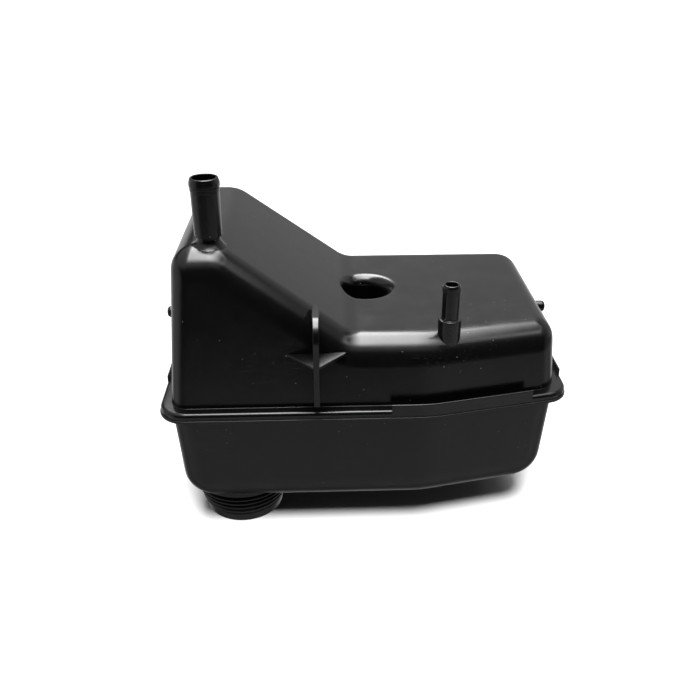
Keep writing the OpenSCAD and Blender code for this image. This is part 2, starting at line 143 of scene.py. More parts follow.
def boolean(piece, other, operation):
    """Unites, cuts or intersects piece with other, and deletes other."""
    step = piece.modifiers.new("step", "BOOLEAN")
    step.object = other
    step.operation = operation
    step.solver = "EXACT"
    bpy.context.view_layer.update()
    evaluated = piece.evaluated_get(bpy.context.evaluated_depsgraph_get())
    mesh = bpy.data.meshes.new_from_object(evaluated)
    piece.modifiers.clear()
    piece.data = mesh
    bpy.data.objects.remove(other)
    return piece


def bevelled(piece, width):
    """Rounds the edges of a plain solid that turn by more than 40 degrees."""
    def change(bm):
        edges = [e for e in bm.edges if len(e.link_faces) == 2 and e.calc_face_angle() > math.radians(40)]
        bmesh.ops.bevel(bm, geom=edges, offset=width * MM, segments=3, profile=0.5, affect="EDGES",
                        clamp_overlap=True)
    edited(piece.data, change)
    return piece


def moved(piece, rule):
    """Moves each point of a piece by a rule from its old to its new place in millimetres."""
    for v in piece.data.vertices:
        v.co = [MM * c for c in rule(*(c / MM for c in v.co))]
    return piece


def stacked(name, levels):
    """Solid through a stack of closed rings with flat ends."""
    n = len(levels[0])
    faces = []
    for j in range(len(levels) - 1):
        for i in range(n):
            k = (i + 1) % n
            faces.append([j * n + i, j * n + k, (j + 1) * n + k, (j + 1) * n + i])
    faces += [list(range(n)), [(len(levels) - 1) * n + i for i in range(n)]]
    return make(name, [p for level in levels for p in level], faces)


def loft(name, rings):
    """Solid through a stack of shell rings, flat below and closed above by a strip from front to rear."""
    n = len(rings[0])
    faces = [list(range(n))]
    for j in range(len(rings) - 1):
        for i in range(n):
            k = (i + 1) % n
            faces.append([j * n + i, (j + 1) * n + i, (j + 1) * n + k, j * n + k])
    t = (len(rings) - 1) * n
    for i in range(n // 2 - 1):
        faces.append([t + i, t + n - 1 - i, t + n - 2 - i, t + i + 1])
    return make(name, [p for r in rings for p in r], faces)


def turned(name, profile, at=(0, 0), n=TURN, radius=None, height=None):
    """Turned solid from a profile of (radius, height) that starts and ends on the axis. Where radius or
    height is given, it works out the point's own one."""
    levels = []
    for r, z in profile[1:-1]:
        level = []
        for i in range(n):
            a = 2 * math.pi * i / n
            rr = radius(r, z, a) if radius else r
            x, y = at[0] + rr * math.cos(a), at[1] + rr * math.sin(a)
            level.append((x, y, height(x, y, z) if height else z))
        levels.append(level)
    return stacked(name, levels)


def cylinder(name, at, r, low, high):
    return turned(name, [(0, low), (r, low), (r, high), (0, high)], at)


def prism(name, outline, low, high, axis):
    """Prism of a 2-D outline between two levels of an axis."""
    place = {"x": lambda p, w: (w, p[0], p[1]), "z": lambda p, w: (p[0], p[1], w)}[axis]
    n = len(outline)
    points = [place(p, w) for w in (low, high) for p in outline]
    faces = [list(range(n)), list(range(n, 2 * n))]
    faces += [[i, (i + 1) % n, n + (i + 1) % n, n + i] for i in range(n)]
    return make(name, points, faces)


# Curves

def share(value, low, high):
    """How far value is on its way from low to high, from 0 to 1."""
    return min(1, max(0, (value - low) / (high - low)))


def quarter(n, first=0):
    """The angles of a quarter turn in n steps."""
    return [math.pi / 2 * k / n for k in range(first, n + 1)]


def arc(cx, cy, r, a0, a1, n):
    return [(cx + r * math.cos(a0 + (a1 - a0) * k / n), cy + r * math.sin(a0 + (a1 - a0) * k / n))
            for k in range(n + 1)]


def rounded(points, radii, n=5):
    """A profile whose inner points are rounded by the given radii."""
    out = [points[0]]
    for k in range(1, len(points) - 1):
        before, corner, after = (np.array(points[k + d], float) for d in (-1, 0, 1))
        r = radii[k - 1]
        back, on = np.linalg.norm(before - corner), np.linalg.norm(after - corner)
        u, v = (before - corner) / back, (after - corner) / on
        half = math.acos(max(-1, min(1, float(u @ v)))) / 2
        if r <= 0 or half > math.radians(89):
            out.append(tuple(corner))
            continue
        reach = min(r / math.tan(half), 0.49 * back, 0.49 * on)
        r = reach * math.tan(half)
        centre = corner + (u + v) / np.linalg.norm(u + v) * (r / math.sin(half))
        start, end = corner + u * reach - centre, corner + v * reach - centre
        full = math.acos(max(-1, min(1, float(start @ end) / (r * r))))
        for i in range(n + 1):
            t = i / n
            w = math.sin((1 - t) * full) * start + math.sin(t * full) * end
            out.append(tuple(centre + w / math.sin(full)))
    out.append(points[-1])
    return out


# Rings of the two shells. Their argument inner is how far inside the outer skin a ring lies.

def stations(drop):
    """The line of the slope seen from the side, moved inwards by drop."""
    out = []
    for k in range(SLOPE_N + 1):
        a = SLOPE * k / SLOPE_N
        r = CREST_R - drop
        out.append((CREST_X + r * math.sin(a), TALL - CREST_R + r * math.cos(a)))
    for k in range(SLOPE_N + 1):
        a = SLOPE * (1 - k / SLOPE_N)
        r = FOOT_R + drop
        out.append((FOOT_X - r * math.sin(a), DECK + FOOT_R - r * math.cos(a)))
    return out


def ring(slope, left_in, left_z, right_in, right_z, radii):
    """One closed ring of a shell. slope holds x, inset from the front, inset from the rear and height of
    each slope station; left_in and right_in hold the inset from the end and rear walls and from the
    front wall."""
    half = math.pi / 2
    (left_end, left_front), (right_end, right_front) = left_in, right_in
    front_left, front_right, rear_right, rear_left = radii

    def level(points, z):
        return [(x, y, z) for x, y in points]

    points = level(arc(LEFT + left_end + front_left, FRONT + left_front + front_left, front_left,
                       2 * half, 3 * half, CORNER_N), left_z)
    points += [(x, FRONT + front, z) for x, front, _, z in slope]
    bend = arc(BEND_START, FRONT + BEND_RADIUS, BEND_RADIUS - right_front, -half, BEND_ANGLE - half, BEND_N)
    points += level(bend, right_z)
    cx = RIGHT - right_end - front_right
    cy = FRONT + (right_front + front_right + math.sin(BEND_ANGLE) * (cx - BEND_X)) / math.cos(BEND_ANGLE)
    points += level(arc(cx, cy, front_right, BEND_ANGLE - half, 0, CORNER_N), right_z)
    q = right_end + rear_right
    points += level(arc(RIGHT - q, REAR - q, rear_right, 0, half, CORNER_N), right_z)
    points += [(x, REAR - right_end, right_z) for x, _ in reversed(bend)]
    points += [(x, REAR - rear, z) for x, _, rear, z in reversed(slope)]
    q = left_end + rear_left
    points += level(arc(LEFT + q, REAR - q, rear_left, half, 2 * half, CORNER_N), left_z)
    return points


def flat_ring(inset, z, radii):
    """A level ring with the same number of points as a sloped one."""
    drop = FRONT_FILLET * (1 - math.sin(UPPER_DRAFT))
    slope = [(x, inset, inset, z) for x, _ in stations(drop)]
    return ring(slope, (inset, inset), z, (inset, inset), z, radii)


def edge_ring(out, z, corners, inset):
    """A level ring at a flange's edge, out beyond the wall and moved in by inset."""
    return flat_ring(inset - out, z, [c - inset for c in corners])


def between(a, b, t):
    return [tuple(p + (q - p) * t for p, q in zip(u, v)) for u, v in zip(a, b)]


def fillet_angles(draft):
    """Angles of a fillet from the drafted wall to the flat top or floor."""
    return [draft + (math.pi / 2 - draft) * k / FILLET_N for k in range(FILLET_N + 1)]


def corner_radius(wide, narrow, angle, draft, more):
    """A corner's radius in plan, which shrinks from wide to narrow across a fillet."""
    return max(wide - (wide - narrow) * (1 - math.cos(angle) / math.cos(draft)) - more, MIN_CORNER)


def upper_inset(z, angle, fillet, inner):
    """Inset at height z where a fillet stands at angle over the drafted wall."""
    inset = inner / math.cos(UPPER_DRAFT)
    if angle <= UPPER_DRAFT:
        return inset + math.tan(UPPER_DRAFT) * (z - WELD)
    r = fillet - inner
    return (inset + math.tan(UPPER_DRAFT) * (z - WELD - r * math.sin(angle))
            + r * (1 / math.cos(UPPER_DRAFT) - math.cos(angle)))


def upper_ring(angle, inner, more=0.0):
    """Ring of the upper shell where the front fillet stands at angle. The other walls have a smaller
    fillet, which starts higher up. more moves the ring on across the top."""
    drop = inner + (FRONT_FILLET - inner) * (1 - math.sin(angle))
    wall_drop = inner + (FRONT_FILLET - inner) * (1 - math.sin(UPPER_DRAFT))
    fillet = TOP_FILLET - inner
    other = max(UPPER_DRAFT, math.asin(1 - min(drop - inner, fillet) / fillet))

    def insets(z):
        return (upper_inset(z, other, TOP_FILLET, inner) + more,
                upper_inset(z, angle, FRONT_FILLET, inner) + more)

    radii = []
    for corner, top, at in zip(UPPER_CORNERS, (TALL, DECK, DECK, TALL), (angle, angle, other, other)):
        wide = corner - inner + GROWTH * (top - wall_drop - WELD)
        radii.append(corner_radius(wide, TOP_CORNER - inner / 2, at, UPPER_DRAFT, more))
    tall, deck = TALL - drop, DECK - drop
    slope = [(x, *reversed(insets(z)), z) for x, z in stations(drop)]
    return ring(slope, insets(tall), tall, insets(deck), deck, radii)


def upper_wall(rise, inner):
    """Ring of the upper shell's wall at a height above the weld."""
    return flat_ring(inner / math.cos(UPPER_DRAFT) + math.tan(UPPER_DRAFT) * rise, WELD + rise,
                     [c - inner + GROWTH * rise for c in UPPER_CORNERS])


def lower_ring(angle, inner, more=0.0):
    """Ring of the lower shell where the fillet to the underside stands at angle."""
    fillet = BOTTOM_FILLET - inner
    inset = (inner / math.cos(LOWER_DRAFT) - LOWER_STEP + math.tan(LOWER_DRAFT) * LOWER_CENTRE
             + fillet * (1 / math.cos(LOWER_DRAFT) - math.cos(angle)) + more)
    fall = LOWER_CENTRE + fillet * math.sin(LOWER_DRAFT)
    radii = [corner_radius(c + LOWER_STEP - inner + GROWTH * fall, FLOOR_CORNER - inner / 2, angle,
                           LOWER_DRAFT, more) for c in LOWER_CORNERS]
    return flat_ring(inset, WELD - LOWER_CENTRE - fillet * math.sin(angle), radii)


def lower_wall(fall, inner):
    """Ring of the lower shell's wall at a depth below the weld."""
    return flat_ring(inner / math.cos(LOWER_DRAFT) - LOWER_STEP + math.tan(LOWER_DRAFT) * fall, WELD - fall,
                     [c + LOWER_STEP - inner + GROWTH * fall for c in LOWER_CORNERS])


# Upper shell

def upper_outside():
    """Outer skin of the upper shell with its flange, as one solid, from the weld up."""
    rings = [edge_ring(FLANGE_W, WELD + WELD_EDGE * (1 - math.cos(a)), FLANGE_CORNERS,
                       WELD_EDGE * (1 - math.sin(a))) for a in quarter(3)]
    top = WELD + UPPER_FLANGE_T
    rings += [edge_ring(FLANGE_W, top - UPPER_EDGE * (1 - math.sin(a)), FLANGE_CORNERS,
                        UPPER_EDGE * (1 - math.cos(a))) for a in quarter(5)]
    inset = math.tan(UPPER_DRAFT) * UPPER_FLANGE_T - UPPER_ROOT
    foot = flat_ring(inset, top, [c + UPPER_ROOT for c in UPPER_CORNERS])
    rings += [between(rings[-1], foot, 0.5), foot]
    for a in quarter(4, 1):
        rings.append(flat_ring(inset + UPPER_ROOT * math.sin(a), top + UPPER_ROOT * (1 - math.cos(a)),
                               [c + UPPER_ROOT * (1 - math.sin(a)) for c in UPPER_CORNERS]))
    wall = upper_wall(UPPER_FLANGE_T + UPPER_ROOT, 0)
    rings.append(wall)
    fillet = [upper_ring(a, 0) for a in fillet_angles(UPPER_DRAFT)]
    rings += [between(wall, fillet[0], t) for t in WALL_STEPS]
    rings += fillet
    rings.append(upper_ring(math.pi / 2, 0, TOP_STRIP))
    return loft("upper", rings)


def upper_inside():
    rings = [upper_wall(-2, WALL)] + [upper_ring(a, WALL) for a in fillet_angles(UPPER_DRAFT)]
    return loft("inside", rings)


def tongue_path():
    """Points and outward directions along the front flange's edge, round the bend."""
    path = [((TONGUE_X, FRONT - FLANGE_W), (0, -1))]
    r, steps = BEND_RADIUS + FLANGE_W, 12
    for k in range(steps + 1):
        a = BEND_ANGLE * k / steps
        path.append(((BEND_START + r * math.sin(a), FRONT + BEND_RADIUS - r * math.cos(a)),
                     (math.sin(a), -math.cos(a))))
    (x, y), outward = path[-1]
    end = TONGUE_X + TONGUE_LEN
    path.append(((end, y + (end - x) * math.tan(BEND_ANGLE)), outward))
    return path


def end_lip_path(side):
    """The same along the flange's left end where side is -1, and along its right end where it is 1."""
    x = RIGHT + FLANGE_W if side > 0 else LEFT - FLANGE_W
    return [((x, END_LIP_Y + end * side * END_LIP_LEN / 2), (side, 0)) for end in (-1, 1)]


def lip(name, path, height):
    """Raised lip on the flange: a rounded section swept along a path."""
    low, high = WELD + LIP_FOOT, WELD + UPPER_FLANGE_T + height
    section = [(LIP_INSET, low), (LIP_INSET, high - LIP_EDGE)]
    section += [(LIP_INSET + LIP_EDGE * (1 - math.cos(a)), high - LIP_EDGE * (1 - math.sin(a)))
                for a in quarter(4, 1)]
    section += [(LIP_T - LIP_EDGE * (1 - math.sin(a)), high - LIP_EDGE * (1 - math.cos(a)))
                for a in quarter(4)]
    section.append((LIP_T, low))
    return stacked(name, [[(x - nx * s, y - ny * s, z) for s, z in section] for (x, y), (nx, ny) in path])


def front_rib():
    """Upright rib that widens towards the wall and runs back into the slope."""
    back, beyond = RIB_Y + RIB_CORNER + RIB_TOP_LEN, 5
    side = [(FRONT + WALL, RIB_FOOT), (RIB_Y, RIB_FOOT)]
    side += arc(RIB_Y + RIB_CORNER, RIB_TOP - RIB_CORNER, RIB_CORNER, math.pi, math.pi / 2, 12)
    side += [(back, RIB_TOP), (back + WALL, RIB_TOP - RIB_CORNER), (back, RIB_TOP - FRONT_FILLET)]
    rib = prism("rib", side, RIB_X - RIB_ROOT_T, RIB_X + RIB_ROOT_T, "x")
    right = [(RIB_T / 2, RIB_Y - 1), (RIB_ROOT_T / 2, GUSSET_Y), (RIB_ROOT_T / 2, back + beyond)]
    plan = [(-right[0][0], right[0][1])] + right + [(-x, y) for x, y in right[:0:-1]]
    plan = prism("plan", [(RIB_X + x, y) for x, y in plan], RIB_FOOT - beyond, RIB_TOP + beyond, "z")
    return bevelled(boolean(rib, plan, "INTERSECT"), RIB_EDGE)


def gusset():
    """Thin triangle across the rib, with its point at the rib's front."""
    short, sunk = 0.6, 1.5
    deep, wide, tip = GUSSET_Y - RIB_Y - short, GUSSET_W / 2, RIB_T / 2
    plan = [(-tip, -deep), (tip, -deep), (wide, 0), (wide, sunk), (-wide, sunk), (-wide, 0)]
    piece = bevelled(prism("gusset", plan, -GUSSET_T, 0, "z"), GUSSET_EDGE)
    c, s = math.cos(GUSSET_SLOPE), math.sin(GUSSET_SLOPE)
    return moved(piece, lambda x, y, z: (RIB_X + x, GUSSET_Y + y * c - z * s, GUSSET_Z + y * s + z * c))


def peg(side):
    """Round peg on the left wall where side is -1, and on the right one where it is 1."""
    x = RIGHT - PEG_SUNK if side > 0 else LEFT + PEG_SUNK
    length = PEG_SUNK + (PEG_RIGHT_OUT if side > 0 else PEG_LEFT_OUT)
    profile = [(0, 0), (PEG_R, 0)]
    profile += [(PEG_R - PEG_EDGE * (1 - math.cos(a)), length - PEG_EDGE * (1 - math.sin(a)))
                for a in quarter(6)]
    profile.append((0, length))
    return moved(turned("peg", profile, n=PEG_TURN), lambda a, b, c: (x + side * c, PEG_Y + a, PEG_Z + b))


def top_height(x):
    """Height of the top surface along the slope's lower part and the deck."""
    if x >= FOOT_X:
        return DECK
    if x >= FOOT_X - FOOT_R * math.sin(SLOPE):
        return DECK + FOOT_R - math.sqrt(FOOT_R ** 2 - (FOOT_X - x) ** 2)
    return DECK + (SLOPE_END - x) * math.tan(SLOPE)


def well_cutter():
    """Hollow of the well with a mouth that is rounded where the deck or the slope meets its wall."""
    steps, above, clear, lift = 12, 45, 1.5, 3
    # the mouth's curve stops just short of the surface
    nearly = 0.96
    centre = WELL_R + WELL_LIP
    levels = [[] for _ in range(steps + 4)]
    for i in range(WIDE_TURN):
        a = 2 * math.pi * i / WIDE_TURN
        ca, sa = math.cos(a), math.sin(a)
        rise = (top_height(WELL[0] + (centre + 1) * ca) - top_height(WELL[0] + (centre - 1) * ca)) / 2
        tilt = math.atan(rise)
        # ball of the lip's radius that touches the wall and the surface in this radial plane
        touch = top_height(WELL[0] + (centre - WELL_LIP * math.sin(tilt)) * ca)
        cz = touch - WELL_LIP * math.cos(tilt)
        side = [(WELL_R, DECK - WELL_DEPTH)]
        for k in range(steps + 1):
            b = (math.pi / 2 - tilt) * nearly * k / steps
            side.append((centre - WELL_LIP * math.cos(b), cz + WELL_LIP * math.sin(b)))
        r, z = side[-1]
        side += [(r + clear, z + clear * math.tan(tilt) + lift), (r + clear, DECK + above)]
        for level, (r, z) in zip(levels, side):
            level.append((WELL[0] + r * ca, WELL[1] + r * sa, z))
    return stacked("well", levels)


def edge_drop(over, radius):
    """How far a rounded edge has fallen at a distance over beyond its start."""
    steepest = 0.98
    over = min(max(0, over), radius * steepest)
    return radius - math.sqrt(radius ** 2 - over ** 2)


def tall_drop(x, y):
    """How far the top surface has fallen below the tall end at a point near the large spigot."""
    front = upper_inset(TALL, math.pi / 2, FRONT_FILLET, 0)
    left = upper_inset(TALL, math.pi / 2, TOP_FILLET, 0)
    return (edge_drop(front - (y - FRONT), FRONT_FILLET) + edge_drop(left - (x - LEFT), TOP_FILLET)
            + edge_drop(x - CREST_X, CREST_R))


def large_spigot():
    """Hose spigot whose waist flares out onto the surface round it."""
    top, foot = TALL + LARGE_H, TALL - FLARE_SUNK
    wide, root = LARGE_WAIST + FLARE_REACH, TALL - 8
    profile = [(0, root), (wide, root), (wide, foot - 0.25)]
    profile += [(LARGE_WAIST + FLARE_REACH * (1 - math.sin(a)), foot + FLARE_RISE * (1 - math.cos(a)))
                for a in quarter(12)]
    # each corner with its rounding, from the waist up to the mouth
    corners = [(LARGE_WAIST, TALL + LARGE_WAIST_H, 0.1), (LARGE_FOOT, TALL + LARGE_WAIST_H, 0.4),
               (LARGE_TUBE, top - 9.2, 0.2), (LARGE_COLLAR, top - 8.6, 0.3), (LARGE_COLLAR, top - 7.2, 0.2),
               (LARGE_GROOVE, top - 6.7, 0.2), (LARGE_BEAD, top - 5.8, 0.9), (LARGE_BEAD, top - 3.2, 4.0),
               (LARGE_LIP, top, 0.9), (LARGE_BORE, top, 0.5), (LARGE_BORE, top - LARGE_MOUTH, 0)]
    tube = [profile[-1]] + [(r, z) for r, z, _ in corners] + [(0, top - LARGE_MOUTH)]
    profile += rounded(tube, [edge for _, _, edge in corners])[1:]

    def height(x, y, level):
        return level - tall_drop(x, y) * share(TALL + FLARE_RISE - level, 0, FLARE_RISE)

    return turned("large", profile, LARGE, height=height)


def small_spigot():
    """Hose spigot on a round boss."""
    top, root, boss = DECK + SMALL_H, DECK - SMALL_BOSS_ROOT, DECK + SMALL_BOSS_H
    corners = [(SMALL_BOSS, root, 0), (SMALL_BOSS, boss, 0.9), (SMALL_TUBE, boss, 0.7),
               (SMALL_TUBE, top - 6, 0.5), (SMALL_BEAD, top - 5, 0.8), (SMALL_BEAD, top - 1.6, 1.2),
               (SMALL_LIP, top, 0.7), (SMALL_BORE, top, 0.5), (SMALL_BORE, top - SMALL_MOUTH, 0)]
    profile = [(0, root)] + [(r, z) for r, z, _ in corners] + [(0, top - SMALL_MOUTH)]
    return turned("small", rounded(profile, [edge for _, _, edge in corners]), SMALL)


def upper_shell():
    shell = upper_outside()
    for part in (lip("tongue", tongue_path(), TONGUE_H), lip("left", end_lip_path(-1), END_LIP_H),
                 lip("right", end_lip_path(1), END_LIP_H), front_rib(), gusset(), large_spigot(),
                 small_spigot(), peg(-1), peg(1)):
        boolean(shell, part, "UNION")
    boolean(shell, upper_inside(), "DIFFERENCE")
    cup = cylinder("cup", WELL, WELL_R + WALL, DECK - WELL_DEPTH - WALL, DECK - 2)
    boolean(shell, cup, "UNION")
    boolean(shell, well_cutter(), "DIFFERENCE")
    # the bores start inside the tank and end just past the bottom of the mouth
    inside, past = 20, 0.1
    for at, r, low, high in ((LARGE, LARGE_WAIST_BORE, TALL - inside, TALL + 8),
                             (LARGE, LARGE_BORE, TALL + 6, TALL + LARGE_H - LARGE_MOUTH + past),
                             (SMALL, SMALL_BORE, DECK - inside, DECK + SMALL_H - SMALL_MOUTH + past)):
        boolean(shell, cylinder("bore", at, r, low, high), "DIFFERENCE")
    return shell


# Lower shell

def lower_outside():
    """Outer skin of the lower shell with its flange, as one solid, from the underside up."""
    corners = [c + LOWER_STEP for c in FLANGE_CORNERS]
    out, low = FLANGE_W + LOWER_STEP, WELD - LOWER_FLANGE_T
    rings = [lower_ring(math.pi / 2, 0, TOP_STRIP)]
    rings += [lower_ring(a, 0) for a in reversed(fillet_angles(LOWER_DRAFT))]
    wall = lower_wall(LOWER_FLANGE_T + LOWER_ROOT, 0)
    rings += [between(rings[-1], wall, t) for t in WALL_STEPS] + [wall]
    inset = math.tan(LOWER_DRAFT) * LOWER_FLANGE_T - LOWER_STEP - LOWER_ROOT
    for a in reversed(quarter(4)[:-1]):
        rings.append(flat_ring(inset + LOWER_ROOT * math.sin(a), low - LOWER_ROOT * (1 - math.cos(a)),
                               [c + LOWER_STEP + LOWER_ROOT * (1 - math.sin(a)) for c in LOWER_CORNERS]))
    rings += [edge_ring(out, low + LOWER_EDGE * (1 - math.sin(a)), corners, LOWER_EDGE * (1 - math.cos(a)))
              for a in reversed(quarter(4))]
    rings += [edge_ring(out, WELD - WELD_GAP - WELD_EDGE * (1 - math.sin(a)), corners,
                        WELD_EDGE * (1 - math.cos(a))) for a in quarter(3)]
    return loft("lower", rings)


def lower_inside():
    rings = [lower_ring(a, WALL) for a in reversed(fillet_angles(LOWER_DRAFT))]
    return loft("inside", rings + [lower_wall(-2, WALL)])


def pad(inner):
    """Round pad between the neck and the floor, kept within the lower shell's walls."""
    inset = inner / math.cos(LOWER_DRAFT) - LOWER_STEP + math.tan(LOWER_DRAFT) * LOWER_CENTRE + PAD_INSET
    outline = flat_ring(inset, 0, [c + LOWER_STEP - inner + GROWTH * LOWER_CENTRE for c in LOWER_CORNERS])
    low, r = NECK_H + inner, PAD_R - inner
    high = low + BOTTOM_FILLET
    disc = turned("pad", rounded([(0, low), (r, low), (r, high), (0, high)], [PAD_EDGE, 0]))
    walls = prism("outline", [(x, y) for x, y, _ in outline], low - 2, high - 1, "z")
    return boolean(disc, walls, "INTERSECT")


def neck():
    """Neck with a rounded thread that widens towards the shell."""
    band = rounded([(NECK_BORE, 0), (NECK_RIM, 0), (NECK_BAND, NECK_BAND_H), (THREAD_ROOT, THREAD_START)],
                   [1.1, 0.6])
    top, steps = NECK_H + NECK_SUNK, 84
    # a radius of 0 stands for the thread, which thread() works out
    threaded = [(0, THREAD_START + (top - THREAD_START) * k / steps) for k in range(1, steps + 1)]
    profile = [(0, 0)] + band[1:] + threaded + [(0, top)]

    def thread(r, z, angle):
        if r > 0:
            return r
        root = THREAD_ROOT + THREAD_SHOULDER * share(z, THREAD_LOW, THREAD_HIGH)
        tall = THREAD_TALL + THREAD_GROWTH * share(z, THREAD_FIRST, THREAD_GROWN)
        # the thread starts at the front of the neck, which is at angle -90 degrees
        turn = (angle + math.pi / 2) / (2 * math.pi) % 1.0
        phase = (z - THREAD_FIRST - THREAD_PITCH * turn) / THREAD_PITCH
        off_crest = abs((phase + 0.5) % 1.0 - 0.5) * 2
        crest = 1 / (1 + math.exp((off_crest - THREAD_WIDTH) * THREAD_SHARP))
        fade = share(z, THREAD_LOW, THREAD_LOW + THREAD_FADE_IN) * share(THREAD_END - z, 0, THREAD_FADE_OUT)
        return root + tall * crest * fade

    return turned("neck", profile, n=NECK_TURN, radius=thread)


def lower_shell():
    shell = lower_outside()
    boolean(shell, pad(0), "UNION")
    boolean(shell, neck(), "UNION")
    boolean(shell, lower_inside(), "DIFFERENCE")
    boolean(shell, pad(WALL), "DIFFERENCE")
    low, high = -2, 40
    mouth = rounded([(0, low), (NECK_BORE + 3, low), (NECK_BORE, 1.0), (NECK_BORE, high), (0, high)],
                    [0, 0.8, 0])
    boolean(shell, turned("bore", mouth, n=WIDE_TURN), "DIFFERENCE")
    return shell


def finish_piece(piece, name, node, material):
    """Cleans and shades a piece, puts it under the root body and hides the imported node that it stands for.
    """
    tiny = 2e-6

    def clean(bm):
        bmesh.ops.remove_doubles(bm, verts=bm.verts, dist=tiny)
        bmesh.ops.dissolve_degenerate(bm, edges=bm.edges, dist=tiny)

    edited(piece.data, clean)
    piece.name = piece.data.name = name
    piece.data.materials.clear()
    piece.data.materials.append(material)
    piece.data.polygons.foreach_set("use_smooth", [True] * len(piece.data.polygons))
    piece.data.set_sharp_from_angle(angle=math.radians(32))
    weigh = piece.modifiers.new("normals", "WEIGHTED_NORMAL")
    weigh.keep_sharp = True
    weigh.weight = 70
    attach(piece, "root")
    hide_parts(node)


# Materials

class Nodes:
    """Short calls for building a node tree."""

    def __init__(self, tree):
        self.tree = tree
        tree.nodes.clear()

    def add(self, kind, inputs=None, **settings):
        node = self.tree.nodes.new(kind)
        for key, value in settings.items():
            setattr(node, key, value)
        for key, value in (inputs or {}).items():
            socket = node.inputs[key]
            if isinstance(value, bpy.types.NodeSocket):
                self.tree.links.new(value, socket)
            else:
                socket.default_value = value
        return node

    def math(self, operation, a, b=0.0, c=0.0):
        return self.add("ShaderNodeMath", {0: a, 1: b, 2: c}, operation=operation).outputs[0]

    def product(self, first, *others):
        for other in others:
            first = self.math("MULTIPLY", first, other)
        return first

    def noise(self, vector, scale, detail=3.0, rough=0.5):
        return self.add("ShaderNodeTexNoise", {"Vector": vector, "Scale": scale, "Detail": detail,
                                               "Roughness": rough}).outputs["Fac"]

    def spread(self, value, low, high, to_low, to_high, smooth=False):
        """Maps value from the range low to high onto the range to_low to to_high."""
        return self.add("ShaderNodeMapRange", {"Value": value, "From Min": low, "From Max": high,
                                               "To Min": to_low, "To Max": to_high},
                        interpolation_type="SMOOTHSTEP" if smooth else "LINEAR").outputs["Result"]

    def step(self, value, start, full, inside=1, outside=0):
        """Soft step from outside at start to inside at full."""
        return self.spread(value, start, full, outside, inside, True)

    def mix(self, amount, a, b):
        return self.add("ShaderNodeMix", {"Factor": amount, "A": a, "B": b},
                        data_type="RGBA").outputs["Result"]


def plastic(name, base, rough, bump, scuffs):
    """Moulded plastic with waves of bump millimetres, fine grain, scratches and dust."""
    material = bpy.data.materials.new(name)
    material.use_nodes = True
    n = Nodes(material.node_tree)
    at = n.add("ShaderNodeTexCoord").outputs["Object"]
    broad = n.noise(at, scale=24, detail=2)
    fine = n.noise(at, scale=1100, rough=0.6)
    # fine scratches in two directions, gathered in worn patches
    lines = []
    for turn, seed in ((0.15, 3.1), (-0.8, 7.7)):
        m = n.add("ShaderNodeMapping", {"Vector": at, "Location": (seed, seed, seed),
                                        "Rotation": (0.0, 0.0, turn), "Scale": (40, 2300, 2300)})
        lines.append(n.spread(n.noise(m.outputs["Vector"], scale=1.0, detail=1), 0.66, 0.80, 0, 1))
    patchy = n.step(n.noise(at, scale=21), 0.50, 0.72)
    wear = n.product(n.math("MAXIMUM", *lines), patchy, scuffs)
    # dust specks, thicker in the same patches
    cells = n.add("ShaderNodeTexVoronoi", {"Vector": at, "Scale": 330}, feature="F1")
    speck = n.spread(cells.outputs["Distance"], 0.05, 0.13, 1, 0)
    pick = n.add("ShaderNodeSeparateColor", {"Color": cells.outputs["Color"]}).outputs["Red"]
    few = n.spread(n.math("ADD", pick, n.math("MULTIPLY", patchy, 0.16)), 0.98, 0.99, 0, 1)
    dust = n.math("MULTIPLY", speck, few)
    haze = n.spread(n.noise(at, scale=55, detail=5, rough=0.65), 0.35, 0.75, 0, 1)
    roughness = n.math("ADD", n.spread(haze, 0, 1, rough - 0.02, rough + 0.05),
                       n.math("MULTIPLY", wear, 0.25))
    colour = n.mix(wear, (*base, 1), (0.10, 0.10, 0.105, 1))
    colour = n.mix(dust, colour, (0.22, 0.22, 0.23, 1))
    height = n.math("ADD", n.math("MULTIPLY", broad, 1.6), n.math("MULTIPLY", fine, 0.05))
    normal = n.add("ShaderNodeBump", {"Height": height, "Strength": 1.0, "Distance": bump * MM})
    shader = n.add("ShaderNodeBsdfPrincipled", {"Base Color": colour, "Roughness": roughness,
                                                "Normal": normal.outputs["Normal"], "IOR": 1.5})
    n.add("ShaderNodeOutputMaterial", {"Surface": shader.outputs["BSDF"]})
    return material


def floor_material():
    material = bpy.data.materials.new("floor")
    material.use_nodes = True
    n = Nodes(material.node_tree)
    at = n.add("ShaderNodeTexCoord").outputs["Object"]
    tone = n.spread(n.noise(at, scale=40, detail=2), 0, 1, 0.20, 0.21)
    shader = n.add("ShaderNodeBsdfPrincipled", {"Base Color": tone, "Roughness": 0.9,
                                                "Specular IOR Level": 0.0})
    n.add("ShaderNodeOutputMaterial", {"Surface": shader.outputs["BSDF"]})
    return material


# Studio

